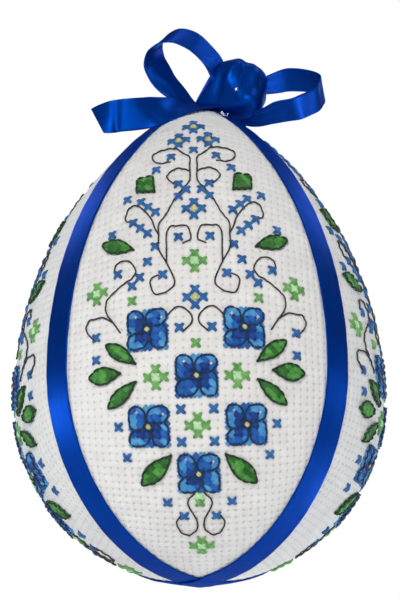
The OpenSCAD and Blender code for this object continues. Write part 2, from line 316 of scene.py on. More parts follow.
class Build:
    """Vertices and faces gathered from many parts of one piece."""

    def __init__(self):
        self.points = []
        self.faces = []
        self.looks = []
        self.count = 0

    def add(self, points, faces, look=0):
        points = np.asarray(points).reshape(-1, 3)
        self.points.append(points)
        for lot in faces:
            moved = (np.asarray(lot) + self.count).tolist()
            self.faces.extend(moved)
            self.looks.extend([look] * len(moved))
        self.count += len(points)

    def piece(self, name, slot, materials, nodes, attribute=None, values=None):
        mesh = bpy.data.meshes.new(name)
        mesh.from_pydata(np.concatenate(self.points).tolist(), [], self.faces)
        mesh.polygons.foreach_set("material_index", self.looks)
        mesh.polygons.foreach_set("use_smooth", [True] * len(mesh.polygons))
        if attribute:
            layer = mesh.attributes.new(attribute, "FLOAT_VECTOR", "POINT")
            layer.data.foreach_set("vector", np.ravel(values))
        for look in materials:
            mesh.materials.append(look)
        mesh.validate()
        mesh.update()
        obj = bpy.data.objects.new(name, mesh)
        bpy.context.scene.collection.objects.link(obj)
        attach(obj, "root")
        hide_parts(*nodes)
        return obj


def band_quads(low, high):
    """Quads between closed rings of vertex numbers and the rings that follow them."""
    return np.stack([low, np.roll(low, -1, -1), np.roll(high, -1, -1), high], -1).reshape(-1, 4)


def ring_faces(tubes, rings, sides):
    """Side and end faces of tubes whose rings of points follow each other."""
    index = np.arange(tubes * rings * sides).reshape(tubes, rings, sides)
    return [band_quads(index[:, :-1], index[:, 1:]), index[:, 0, ::-1], index[:, -1]]


def threads(paths, normals, radius, sides=6):
    """Round threads along many paths that have equally many points."""
    along = unit(np.gradient(paths, axis=1))
    beside = unit(np.cross(along, normals))
    above = np.cross(beside, along)
    angle = 2 * np.pi * np.arange(sides) / sides
    points = (
        paths[:, :, None]
        + radius * np.cos(angle)[None, None, :, None] * beside[:, :, None]
        + radius * np.sin(angle)[None, None, :, None] * above[:, :, None]
    )
    return points, ring_faces(len(paths), paths.shape[1], sides)


# ---------------------------------------------------------------- the chart
FLOWERS = [(-6, 11), (0, 5), (-6, -1), (0, -7)]
GREEN_STARS = [(-5, 5), (0, -1), (0, 19.6), (-13, 17), (0, -18)]
BLUE_STARS = [(0, 14.8), (0, 27), (-2, 39.2), (0, 42.2)]
GREEN_SINGLES = [(0, 9), (-8, 15), (0, -11)]
BLUE_SINGLES = [
    (0, 37), (-3, 36), (-5, 34), (-2, 31), (-9, 30), (-1, 30), (-7, 29), (-2, 29),
    (-6, 28), (-5, 27), (-8, 26), (-7, 25), (-11, 25), (-6, 24), (-2, 23), (-5, 22),
    (-6, 20), (-10, 19), (-4, 18), (-7, 18), (-8, 17), (-2, 11), (-13, 11), (-13, 8),
    (-2, 1), (-10, -1), (-2, -3), (-9, -5), (-4, -11), (-2, -13),
]
MINT_SINGLE = (0, -10)
# Leaves, as tip column and row, far column and row, and half width in stitches.
LEAVES = [
    (-7.5, 6.8, -11.5, 9.8, 0.85), (-9.5, 5.8, -14, 5.6, 1.1), (-7.5, 4.6, -11.3, 1.4, 0.85),
    (-3.3, -4.6, -7.2, -8.6, 1.1), (-7.8, 21.9, -12.4, 23.8, 0.95),
]
# Small square leaves near the tip of the gore, as corners.
BUDS = [[(-7.6, 32.9), (-5.4, 32.8), (-5.1, 30.1), (-7.6, 30.7)]]
SCROLLS = [
    [(-3, 35), (-4.5, 35), (-5.5, 36), (-5.5, 37), (-4.5, 37.5), (-2.5, 37.5), (-1.5, 36.5),
     (-0.5, 35.5), (-0.5, 34), (-0.5, 31.5), (-1.5, 30), (-2.5, 28.5), (-3.5, 26.5), (-4.5, 25),
     (-4.5, 23.5), (-4.5, 21.5), (-3.5, 19.5), (-2.5, 17), (-3, 16), (-4, 15.5), (-5, 15.5),
     (-5.5, 16.5), (-5.5, 17.5), (-4.5, 18)],
    [(-0.5, 33), (-1.5, 33.5), (-2.5, 33.5), (-3.5, 32.5), (-3, 31.5), (-2.5, 31)],
    [(-4.5, 23.5), (-5, 24.5), (-5.5, 26), (-6.5, 27.5), (-7.5, 28.5), (-8.5, 28.5),
     (-9, 27.5), (-9, 26.5), (-8, 26)],
    [(-3.5, 19.5), (-3.5, 21.5), (-3.5, 23.5), (-3, 24.5), (-2, 24.5), (-1, 24.5),
     (-0.5, 23.5), (-0.5, 22.5), (-1.5, 22)],
    [(-10.5, 19.5), (-10, 20.5), (-8.5, 20.5), (-7.5, 19), (-8, 18), (-9, 17.5), (-10.5, 16.5),
     (-11.5, 15.5), (-11.5, 14), (-10.5, 12.5), (-9.5, 11)],
    [(-10.5, 12.5), (-12, 13.5), (-13, 13.5), (-14, 13.5), (-14.5, 12.5), (-14, 11.5),
     (-13, 10.5)],
    [(-3.5, 12.5), (-2.5, 13.5), (-1.5, 13.5), (-0.5, 12.5), (-0.5, 11.5), (-1.5, 10.5)],
    [(-0.5, -9.5), (-1.5, -11), (-0.5, -13.5), (-0.5, -15), (-1.5, -16), (-2.5, -15.5),
     (-3, -14), (-2.5, -13)],
]
# Petals of a flower, as outline corners measured in stitches from its middle. The other two
# petals are these turned half round.
PETALS = [
    [(-2.15, 2.35), (-1.35, 2.45), (-0.65, 2.05), (-0.4, 1.25), (-0.4, 0.4), (-0.85, -0.2),
     (-1.65, -0.4), (-2.3, -0.1), (-2.45, 0.8), (-2.45, 1.7)],
    [(-0.15, 1.5), (0.35, 2.2), (1.2, 2.45), (2, 2.35), (2.45, 1.8), (2.35, 1), (1.8, 0.5),
     (1, 0.35), (0.2, 0.35), (-0.15, 0.85)],
]

# A flower's half stitches: two cut corners, and the notches between its petals.
HALF_STITCHES = {
    (-2, 2): (1,), (2, 2): (-1,), (-2, -1): (1,), (1, -2): (-1,), (2, 1): (1,), (-1, 2): (-1,),
}

# Radii of a strand in a plain cross and in a full one, of scroll lines, and of outlines.
STRAND_R = 0.175 * MM
FULL_R = 0.21 * MM
FINE_R = 0.17 * MM
OUTLINE_R = 0.24 * MM
# Heights over the cloth of a cross's upper and under legs, and how much lower some strands lie.
TOP_LEG = 0.34 * MM
UNDER_LEG = 0.17 * MM
LEG_JITTER = 0.03
OUTER_DROP = 0.06 * MM
CUT_DROP = 0.06 * MM
# Heights of a strand's ends: down in a hole, or on the cloth where an outline cuts it off.
HOLE_END = -0.12 * MM
CUT_END = 0.04 * MM
# Distances between a leg's three strands, in stitches, and the shortest part of a leg that's kept.
STRANDS_APART = 0.16
FULL_APART = 0.21
SHORTEST_SPAN = 0.16
# Heights of backstitches in millimetres: how far their ends sink, and how high they arch.
LINE_SINK = 0.02
SCROLL_RISE = 0.16
PETAL_RISE = 0.52
LEAF_RISE = 0.48
CENTRE_LIFT = 0.3 * MM


def both(points):
    """Each motif, and its mirror image where it isn't on the middle column."""
    return list(points) + [(-p[0], *p[1:]) for p in points if p[0] != 0]


def smooth_line(points, per, closed=False):
    """A Catmull-Rom curve through points, with per steps between each pair."""
    p = np.asarray(points, float)
    if closed:
        p = np.concatenate([p[-1:], p, p[:2]])
    else:
        p = np.concatenate([2 * p[:1] - p[1:2], p, 2 * p[-1:] - p[-2:-1]])
    t = np.arange(per)[:, None] / per
    parts = []
    for a, b, c, d in zip(p[:-3], p[1:-2], p[2:-1], p[3:]):
        parts.append(
            0.5 * (2 * b + (c - a) * t + (2 * a - 5 * b + 4 * c - d) * t**2
                   + (3 * b - a - 3 * c + d) * t**3)
        )
    if closed:
        return np.concatenate(parts)
    return np.concatenate([*parts, p[-2:-1]])


def inside_spans(start, end, outline):
    """The parts of a chart line that lie inside a closed outline, as fractions of its length."""
    run = end - start
    a = outline
    b = np.roll(outline, -1, 0)
    edge = b - a
    cross = run[0] * edge[:, 1] - run[1] * edge[:, 0]
    safe = np.where(np.abs(cross) < 1e-9, 1e-9, cross)
    gap = a - start
    t = (gap[:, 0] * edge[:, 1] - gap[:, 1] * edge[:, 0]) / safe
    u = (gap[:, 0] * run[1] - gap[:, 1] * run[0]) / safe
    cuts = sorted(t[(u >= 0) & (u < 1) & (t > 0) & (t < 1)].tolist())
    cuts = [0.0, *cuts, 1.0]
    spans = []
    for low, high in zip(cuts[:-1], cuts[1:]):
        middle = start + run * (low + high) / 2
        hits = (a[:, 1] > middle[1]) != (b[:, 1] > middle[1])
        level = np.where(hits, (middle[1] - a[:, 1]) / np.where(edge[:, 1] == 0, 1, edge[:, 1]), 0)
        if np.count_nonzero(hits & (middle[0] < a[:, 0] + level * edge[:, 0])) % 2:
            spans.append((low, high))
    return spans


class Stitches:
    """Strands of floss on one gore, kept as chart lines with heights until they're built."""

    STEPS = np.linspace(0, 1, 7)
    ARCH = np.sin(np.pi * STEPS) ** 0.7

    def __init__(self, side):
        self.side = side
        self.lots = {}

    def strand(self, start, end, low, high, radius, look, spread):
        """One strand from start to end, sunk into the holes at its ends."""
        columns = start[0] + (end[0] - start[0]) * self.STEPS + spread[0] * self.ARCH
        rows = start[1] + (end[1] - start[1]) * self.STEPS + spread[1] * self.ARCH
        heights = low + (high - low) * self.ARCH
        self.lots.setdefault((radius, look), []).append((columns, rows, heights))

    def leg(self, start, end, top, look, outline=None, full=False, lift=0.0):
        """One leg of a cross, three strands side by side, cut off at an outline if it has one.

        A full leg's strands stay apart down to the holes, so that the cloth hardly shows."""
        run = end - start
        beside = np.array([-run[1], run[0]]) / np.linalg.norm(run)
        for place in (-1, 0, 1):
            apart = FULL_APART if full else STRANDS_APART
            shift = beside * (place * apart + rng.uniform(-0.02, 0.02))
            narrow = 1.0 if full else 0.4
            a = start + shift * narrow
            b = end + shift * narrow
            spread = shift * (1 - narrow)
            spans = [(0.0, 1.0)] if outline is None else inside_spans(a, b, outline)
            for low, high in spans:
                if high - low < SHORTEST_SPAN:
                    continue
                height = TOP_LEG if top else UNDER_LEG
                height += rng.uniform(-LEG_JITTER, LEG_JITTER) * MM + lift
                height -= abs(place) * OUTER_DROP
                if outline is not None:
                    height -= CUT_DROP
                sunk = HOLE_END if outline is None else CUT_END
                radius = FULL_R if full else STRAND_R
                self.strand(a + (b - a) * low, a + (b - a) * high, sunk, height, radius, look, spread)

    def cross(self, column, row, look, outline=None, size=1.0, full=False, lift=0.0, legs=(1, -1)):
        """A cross-stitch, with its second leg on top. A half stitch has just one of its legs.

        The look is a material's number, or a function that chooses one from the leg's place."""
        for sx in legs:
            top = sx == -1
            start = np.array([column - 0.5 * sx * size, row - 0.5 * size])
            end = np.array([column + 0.5 * sx * size, row + 0.5 * size])
            chosen = look
            if callable(look):
                chosen = look((start + end) / 2 + rng.uniform(-0.12, 0.12, 2))
            self.leg(start, end, top, chosen, outline, full, lift)

    def star_arms(self, column, row, look):
        """The four crosses round the middle of a star."""
        for dx, dy in ((-1, 0), (1, 0), (0, -1), (0, 1)):
            self.cross(column + dx, row + dy, look)

    def filled(self, outline, origin, look):
        """Crosses on the grid through origin, cut off at a closed outline."""
        low = np.floor(outline.min(0) - origin - 0.5).astype(int)
        high = np.ceil(outline.max(0) - origin + 0.5).astype(int)
        for i in range(low[0], high[0] + 1):
            for j in range(low[1], high[1] + 1):
                self.cross(origin[0] + i, origin[1] + j, look, outline, full=True)

    def line(self, points, radius, look, stitch=1.15, closed=False, high=SCROLL_RISE):
        """Backstitches of about one stitch each along a smooth curve."""
        fine = smooth_line(points, 12, closed)
        if closed:
            fine = np.concatenate([fine, fine[:1]])
        steps = np.linalg.norm(np.diff(fine, axis=0), axis=1)
        reach = np.concatenate([[0], np.cumsum(steps)])
        count = max(2, round(reach[-1] / stitch))
        marks = np.linspace(0, reach[-1], count + 1)
        for low, end in zip(marks[:-1], marks[1:]):
            at = low + (end - low) * self.STEPS
            columns, rows = (np.interp(at, reach, fine[:, k]) for k in (0, 1))
            heights = (-LINE_SINK + (high + LINE_SINK) * self.ARCH) * MM
            self.lots.setdefault((radius, look), []).append((columns, rows, heights))

    def piece(self, name, slot, materials, nodes):
        build = Build()
        for (radius, look), lot in self.lots.items():
            data = np.array(lot)
            paths, normals, _ = on_cloth(data[:, 0], data[:, 1], self.side, data[:, 2])
            points, faces = threads(paths, normals, radius)
            build.add(points, faces, look)
        return build.piece(name, slot, materials, nodes)


def petal_outlines(flower):
    """Closed outlines of a flower's four petals, as corners. The pinwheel isn't mirrored."""
    middle = np.array(flower, float)
    return [np.array(petal) * way + middle for petal in PETALS for way in (1, -1)]


def leaf_edges(ends):
    """Both edges of a pointed leaf from its tip to its far end."""
    tip = np.array(ends[:2], float)
    far = np.array(ends[2:4], float)
    run = far - tip
    beside = np.array([-run[1], run[0]]) / np.linalg.norm(run)
    t = np.linspace(0, 1, 9)
    width = ends[4] * np.sin(np.pi * t) ** 0.9 * (0.7 + 0.55 * t)
    middle = tip + run * t[:, None]
    return middle + beside * width[:, None], middle - beside * width[:, None]


# The colours of the chart: what each one's piece is called, and its materials.
FLOSSES = {
    "blue": ("blue_stitches", [BLUE, PETAL_DARK, PETAL_MID, PETAL_LIGHT]),
    "outline": ("petal_outlines", [OUTLINE]),
    "yellow": ("yellow_stitches", [YELLOW]),
    "green": ("green_stitches", [GREEN]),
    "mint": ("mint_stitches", [MINT]),
    "leaf": ("leaf_stitches", [LEAF, LEAF_EDGE, LEAF_LIGHT]),
    "scroll": ("scroll_lines", [SCROLL]),
}
# Material numbers in the blue floss and in the leaves.
PLAIN, PETAL_INNER, PETAL_MIDDLE, PETAL_OUTER = range(4)
LEAF_FILL, LEAF_RIM, LEAF_BRIGHT = range(3)


def petal_look(point, middle):
    """Darker blue near a flower's middle and lighter further out, with a ragged change."""
    away = np.max(np.abs(point - middle)) + rng.uniform(-0.45, 0.45)
    if away < 1.15:
        return PETAL_INNER
    return PETAL_MIDDLE if away < 1.9 else PETAL_OUTER


def leaf_look(_):
    """Two greens, mixed at random."""
    return LEAF_FILL if rng.uniform() < 0.55 else LEAF_BRIGHT


def stitch_flower(floss, flower):
    """A five by five flower, with outlined petals and a raised yellow centre."""
    middle = np.array(flower, float)
    blue = floss["blue"]
    for i in range(-2, 3):
        for j in range(-2, 3):
            if (i, j) != (0, 0):
                legs = HALF_STITCHES.get((i, j), (1, -1))
                blue.cross(
                    middle[0] + i, middle[1] + j, lambda point: petal_look(point, middle),
                    full=True, legs=legs,
                )
    for petal in petal_outlines(flower):
        floss["outline"].line(petal, OUTLINE_R, 0, stitch=1.0, closed=True, high=PETAL_RISE)
    blue.cross(*flower, PETAL_INNER, full=True)
    floss["yellow"].cross(*flower, 0, size=0.5, lift=CENTRE_LIFT)


def stitch_stars(floss):
    """The blue and green stars with their centres, and the single crosses."""
    for star in both(BLUE_STARS):
        floss["blue"].star_arms(*star, PLAIN)
        floss["yellow"].cross(*star, 0, size=0.6)
    for single in both(BLUE_SINGLES):
        floss["blue"].cross(*single, PLAIN)
    for star in both(GREEN_STARS):
        floss["green"].star_arms(*star, 0)
        floss["mint"].cross(*star, 0)
    for single in both(GREEN_SINGLES):
        floss["green"].cross(*single, 0)
    floss["mint"].cross(*MINT_SINGLE, 0)


def leaf_rim(leaf, points):
    leaf.line(points, OUTLINE_R, LEAF_RIM, stitch=1.0, high=LEAF_RISE)


def stitch_leaves(leaf):
    """The pointed leaves and the small square ones, on both sides of the chart."""
    for ends in LEAVES:
        for sx in (1, -1):
            placed = (sx * ends[0], ends[1], sx * ends[2], ends[3], ends[4])
            upper, lower = leaf_edges(placed)
            closed = np.concatenate([upper[1:], lower[-2:0:-1]])
            leaf.filled(closed, np.floor(np.array(placed[:2])), leaf_look)
            leaf_rim(leaf, upper[::2])
            leaf_rim(leaf, lower[::2])
    for bud in BUDS:
        for sx in (1, -1):
            corners = np.array(bud) * np.array([sx, 1])
            leaf.filled(corners, np.floor(corners[0]), leaf_look)
            for a, b in zip(corners, np.roll(corners, -1, 0)):
                leaf_rim(leaf, [a, (a + b) / 2, b])


def stitched_gore(side):
    """All the floss on one gore, one piece for each colour of the chart."""
    floss = {colour: Stitches(side) for colour in FLOSSES}
    for flower in both(FLOWERS):
        stitch_flower(floss, flower)
    stitch_stars(floss)
    stitch_leaves(floss["leaf"])
    for line in SCROLLS:
        for sx in (1, -1):
            floss["scroll"].line([(sx * c, r) for c, r in line], FINE_R, 0)
    for colour, (title, looks) in FLOSSES.items():
        floss[colour].piece(f"{side}_{title}", f"{colour}_floss", looks, [f"{side}_{colour}_floss"])


# ---------------------------------------------------------------- cloth
# One block of the cloth, in stitches: where its rows of points lie, and how far a hole reaches.
BLOCK_MARKS = np.array([0, 0.13, 0.36, 0.64, 0.87])
HOLE_REACH = 0.2
# Its relief in millimetres.
CLOTH_SINK = 0.08
HOLE_DEPTH = 0.42
FURROW_DEPTH = 0.07
WEAVE_RISE = 0.02
CLOTH_JITTER = 0.015
# Columns and rows of the chart that cover a gore, and the longest edge of a face that's kept.
CLOTH_COLUMNS = (-30, 31)
CLOTH_ROWS = (-33, 56)
LONGEST_EDGE = 1.5 * MM


def aida_gore(side):
    """One gore of 16-count cloth: a block of threads for each stitch, with a hole at its corners."""
    columns = (np.arange(*CLOTH_COLUMNS)[:, None] - 0.5 + BLOCK_MARKS).ravel()
    rows = (np.arange(*CLOTH_ROWS)[:, None] - 0.5 + BLOCK_MARKS).ravel()
    i = np.arange(len(columns)) % len(BLOCK_MARKS)
    j = np.arange(len(rows)) % len(BLOCK_MARKS)
    from_edge = np.minimum(BLOCK_MARKS, 1 - BLOCK_MARKS)
    near_column = from_edge[i][:, None]
    near_row = from_edge[j][None, :]
    hole = np.clip(1 - np.hypot(near_column, near_row) / HOLE_REACH, 0, 1) ** 1.5
    furrow = np.clip(1 - np.minimum(near_column, near_row) / HOLE_REACH, 0, 1)
    weave = np.where((i[:, None] + j[None, :]) % 2 == 0, 1, -1) * WEAVE_RISE
    height = (-CLOTH_SINK - HOLE_DEPTH * hole - FURROW_DEPTH * furrow + weave) * MM
    height = height + rng.uniform(-CLOTH_JITTER, CLOTH_JITTER, height.shape) * MM
    c, r = np.meshgrid(columns, rows, indexing="ij")
    # The threads of the cloth aren't quite straight.
    c = c + 0.05 * np.sin(r * 0.7 + 1.3 * np.sin(c * 0.31))
    r = r + 0.05 * np.sin(c * 0.6 + 1.1 * np.sin(r * 0.27))
    places, _, lon = on_cloth(c, r, side, height)
    middle = math.radians(GORES[side][3])
    off = (lon - middle + np.pi) % (2 * np.pi) - np.pi
    kept = np.abs(off) <= np.pi / 4
    index = np.arange(c.size).reshape(c.shape)
    whole = kept[:-1, :-1] & kept[1:, :-1] & kept[1:, 1:] & kept[:-1, 1:]
    quads = np.stack(
        [index[:-1, :-1], index[1:, :-1], index[1:, 1:], index[:-1, 1:]], -1
    )[whole]
    corners = places.reshape(-1, 3)[quads]
    longest = np.max(np.linalg.norm(corners - np.roll(corners, -1, 1), axis=-1), axis=1)
    quads = quads[longest < LONGEST_EDGE]
    used, quads = np.unique(quads, return_inverse=True)
    quads = quads.reshape(-1, 4)
    # The chart attribute keeps each point's column, row and nearness to a hole. The cloth material greys
    # the holes by it as painted shade.
    chart = np.stack([c, r, hole], -1).reshape(-1, 3)[used]
    build = Build()
    build.add(places.reshape(-1, 3)[used], [quads])
    obj = build.piece(f"{side}_cloth_gore", "cloth", [AIDA], [f"cloth_{side}"], "chart", chart)


# ---------------------------------------------------------------- ribbons
# Places of a ribbon's points over its half width.
PROFILE = np.array([-1, -0.965, -0.93, -0.8, -0.55, -0.28, 0, 0.28, 0.55, 0.8, 0.93, 0.965, 1])
# Share of the half thickness at each place: the woven edge is a little thicker than the middle.
EDGE = np.array([0.35, 0.85, 1.0, 0.9, 0.85, 0.85, 0.85, 0.85, 0.85, 0.9, 1.0, 0.85, 0.35])


def reach_along(points):
    """The distance along a line of points to each of them."""
    steps = np.linalg.norm(np.diff(points, axis=0), axis=1)
    return np.concatenate([[0], np.cumsum(steps)])


def loft(middles, acrosses, ups, half_width, crown, closed):
    """A ribbon with woven edges: its points, faces and the place along and across of each."""
    n = len(middles)
    sides = 2 * len(PROFILE)
    lateral = PROFILE[None, :] * half_width[:, None]
    sheet = middles[:, None] + lateral[..., None] * acrosses[:, None] + crown[..., None] * ups[:, None]
    thick = RIBBON_T / 2 * EDGE[None, :, None] * ups[:, None]
    ring = np.concatenate([sheet + thick, (sheet - thick)[:, ::-1]], 1)
    run = np.zeros((n, sides, 3))
    run[..., 0] = reach_along(middles)[:, None]
    run[..., 1] = np.concatenate([lateral, lateral[:, ::-1]], 1)
    if closed:
        index = np.arange(n * sides).reshape(n, sides)
        faces = [band_quads(index, np.roll(index, -1, 0))]
    else:
        faces = ring_faces(1, n, sides)
    return ring.reshape(-1, 3), faces, run.reshape(-1, 3)


# A seam ribbon: its points along half its length, where the upper band comes down off the lower
# one, how much its edges lift, and how far from the tip and how much the bow draws it in.
SEAM_STEPS = 160
CROSSING = 4.6 * MM
CROSSING_RAMP = 1.5 * MM
EDGE_WAVE = 0.05 * MM
DRAWN_FROM = 0.72 * JOIN_S
DRAWN_IN = 0.6


def seam_ribbon(name, turn, node, over):
    """A band of satin right round the egg over two opposite seams."""
    quarter = EGG_R * np.pi / 2
    top = JOIN_S + TIP_R * (np.pi / 2 - JOIN_ANGLE)
    up = np.linspace(-quarter, top, SEAM_STEPS)
    s = np.concatenate([up, up[-2:0:-1]])
    out = np.where(np.arange(len(s)) < len(up), 1.0, -1.0)
    radius, height, angle = meridian(s)
    facing = math.radians(turn)
    forward = np.array([math.cos(facing), math.sin(facing), 0])
    across = np.array([-math.sin(facing), math.cos(facing), 0])
    normal = (out * np.cos(angle))[:, None] * forward + np.sin(angle)[:, None] * np.array([0, 0, 1])
    place = (out * radius)[:, None] * forward + (EQUATOR_Z + height)[:, None] * np.array([0, 0, 1])
    from_pole = np.minimum(s + quarter, top - s)
    lift = np.full(len(s), RIBBON_T / 2)
    if over:
        ramp = np.clip((CROSSING - from_pole) / CROSSING_RAMP, 0, 1)
        lift = lift + RIBBON_T * (3 * ramp**2 - 2 * ramp**3)
    # The edges lift a little here and there where the ribbon bends over the egg.
    wave = EDGE_WAVE * (np.sin(s / (3.1 * MM) + turn) + np.sin(s / (1.3 * MM) + 2 * out))
    # The bow draws the ribbon in a little towards the tip.
    drawn = np.clip((s - DRAWN_FROM) / (top - DRAWN_FROM), 0, 1)
    half = SEAM_W / 2 * (1 - DRAWN_IN * drawn)
    lateral = PROFILE[None, :] * half[:, None]
    ball = np.where(s < 0, EGG_R, np.where(s < JOIN_S, radius / np.cos(angle), TIP_R))
    t = lateral / ball[:, None]
    bend = (ball[:, None] + lift[:, None]) * (np.cos(t) - 1) + np.abs(wave)[:, None] * PROFILE**4
    middle = place + lift[:, None] * normal
    points, faces, run = loft(middle, np.tile(across, (len(s), 1)), normal, half, bend, True)
    build = Build()
    build.add(points, faces)
    build.piece(name, "satin_ribbon", [SATIN], [node], "run", run)


def ribbon_route(route, per=8):
    """A bow ribbon's smooth route as middles, directions across and directions out of its face."""
    data = np.array(route, float).reshape(len(route), 6)
    data[:, 3:] = unit(data[:, 3:])
    fine = smooth_line(data, per)
    middles = fine[:, :3] * MM + TIP
    acrosses = unit(fine[:, 3:])
    along = unit(np.gradient(middles, axis=0))
    return middles, acrosses, unit(np.cross(along, acrosses))


# The bow's ribbon near the knot: how far along it is drawn in, and the height of its pleats there.
PINCH_REACH = 5 * MM
PLEAT_RISE = 0.55 * MM
RIPPLE_RISE = 0.06 * MM


def bow_ribbon(name, route, node, pinch_start, pinch_end, creases):
    """A loop or tail of the bow, drawn in with small pleats where it goes into the knot.

    Creases are soft bends across it: place along it, slant, width and rise in millimetres."""
    middles, acrosses, ups = ribbon_route(route)
    reach = reach_along(middles)
    pinch = pinch_start * np.exp(-((reach / PINCH_REACH) ** 2))
    pinch = pinch + pinch_end * np.exp(-(((reach[-1] - reach) / PINCH_REACH) ** 2))
    pleats = np.sin(PROFILE * 7.5 + 0.6)[None, :] * PLEAT_RISE * pinch[:, None]
    bends = np.zeros((len(reach), len(PROFILE)))
    for place, slant, width, rise in creases:
        away = reach[:, None] / MM - place - slant * PROFILE[None, :]
        bends += rise * MM * np.exp(-((away / width) ** 2))
    ripple = RIPPLE_RISE * np.sin(reach / (1.9 * MM))[:, None] * PROFILE[None, :] ** 3
    half = BOW_W / 2 * (1 - 0.5 * pinch)
    points, faces, run = loft(middles, acrosses, ups, half, pleats + bends + ripple, False)
    build = Build()
    build.add(points, faces)
    build.piece(name, "satin_ribbon", [SATIN], [node], "run", run)


# The bow's routes: middles of the ribbon from the tip, and directions across it, in millimetres.
LEFT_LOOP = [
    ((-0.6, -3.8, 0), (5, 4.5, 2.5)), ((-3.3, -5.2, 0.9), (5.5, 3.5, 2)),
    ((-5.8, -6.2, 2.9), (6, 3, 2)), ((-7.9, -6.5, 5.7), (6, 3, 2)),
    ((-9.4, -6, 9.2), (5.2, 3.8, 2)), ((-9.9, -5.4, 12.4), (3.5, 5.2, 2)),
    ((-9.5, -5.2, 14.8), (1.9, 5.3, 3.5)), ((-7.8, -5.5, 16.4), (1.3, 5, 4.7)),
    ((-5, -6, 16.9), (1.5, 4, 5.5)), ((-1.9, -6, 15.7), (2.5, 3.5, 5.5)),
    ((0.8, -6, 13.3), (3, 4, 5)), ((3.2, -6, 10.3), (3.5, 4, 4.5)), ((4.5, -5.6, 7), (4, 4, 4)),
    ((5, -5, 3.5), (4.5, 4, 3.5)),
]
RIGHT_LOOP = [
    ((12, -1.5, 5.4), (0, 6.5, -2.5)), ((15.2, -1, 6.6), (0.5, 6.5, -2.5)),
    ((18.3, -0.5, 7.7), (0.5, 6.5, -2.5)), ((21.2, -0.5, 8.2), (0.5, 6.5, -2.5)),
    ((24, -0.5, 8.1), (1, 6.5, -2.5)), ((26.4, -1, 7.3), (1, 6.5, -2.5)),
    ((27.9, -2, 5.9), (1, 6.5, -2.5)), ((28, -3.5, 3.6), (1.5, 6.5, -2.5)),
    ((27, -4.5, 1.5), (1, 6.5, -2.5)), ((25, -5.5, 0), (1, 6.5, -2.5)),
    ((22.5, -6.5, -1.4), (0.5, 6.5, -2.5)), ((19.5, -6.5, -2.2), (0, 6.5, -2.5)),
    ((16.5, -6.3, -2.8), (-0.5, 6.5, -2.5)), ((14, -5.4, -3.3), (-1, 6.5, -2)),
    ((11.8, -4.6, -3.2), (-1.3, 6.5, -1.7)), ((9.8, -4, -2.5), (-1.5, 6.5, -1.5)),
]
LEFT_TAIL = [
    ((5, -4.2, 0), (-0.5, 6, 3.5)), ((2.5, -5.4, -0.6), (-0.5, 6, 3.5)),
    ((-0.2, -6.6, -1.2), (-1, 5.5, 4)), ((-3, -8, -1.9), (-1.5, 4.5, 5)),
    ((-6, -9.5, -3), (-1, 2.5, 6.5)), ((-9, -11.4, -4.5), (-0.5, 0.5, 7)),
    ((-11.6, -12.5, -5.4), (-0.5, -1.5, 7)), ((-14.7, -13, -6), (-0.5, -2, 6.5)),
    ((-17.9, -13, -6.3), (-1, -2, 6.5)), ((-20.2, -12.4, -6.6), (-2, -0.6, 6.2)),
    ((-22.3, -11.5, -6.8), (-2.7, 1.2, 5.8)),
]
BACK_TAIL = [
    ((6.5, -1, 3), (6.5, -1, 1)), ((6.5, 2, 3), (6.5, -0.5, 1)), ((7, 6, 1), (7, 0, 0.5)),
    ((8, 10, -3), (7, 0.5, 0.5)), ((9.5, 13.5, -7.5), (6.5, 1, 1)),
    ((11.5, 16.5, -12.5), (6.5, 1, 2)),
]
# Balls that the knot is wrapped round: x, y, height over the tip and radius.
KNOT = [
    (0.7, -3, 1.3, 1.5), (6.6, -5, 7, 3.6), (8.6, -4.6, 7.1, 4), (11.8, -4.5, 5.9, 3.7),
    (10.6, -5.5, 0.3, 3.8), (11.8, -3.6, 2.4, 3.4),
]
# Folds down the knot's front, as upper and lower ends (x, height over the tip), width and rise.
FOLDS = [
    ((9.4, 10.4), (6.4, 4.6), 1.0, 0.55),
    ((12.2, 9.6), (12.3, 3.8), 0.8, 0.5),
    ((10.6, 9.8), (9.6, 3.2), 0.8, -0.5),
    ((14.0, 7.6), (13.8, 2.4), 0.8, -0.5),
    ((5.6, 9.4), (3.6, -0.2), 1.0, -0.35),
    ((9.5, 0.2), (13.4, -0.4), 1.5, 0.55),
    ((5.0, -2.6), (13.0, -3.2), 0.9, -0.35),
]


KNOT_RINGS = 90
KNOT_SIDES = 130
# Directions that the hull round the balls is found from.
KNOT_RAYS = 3000


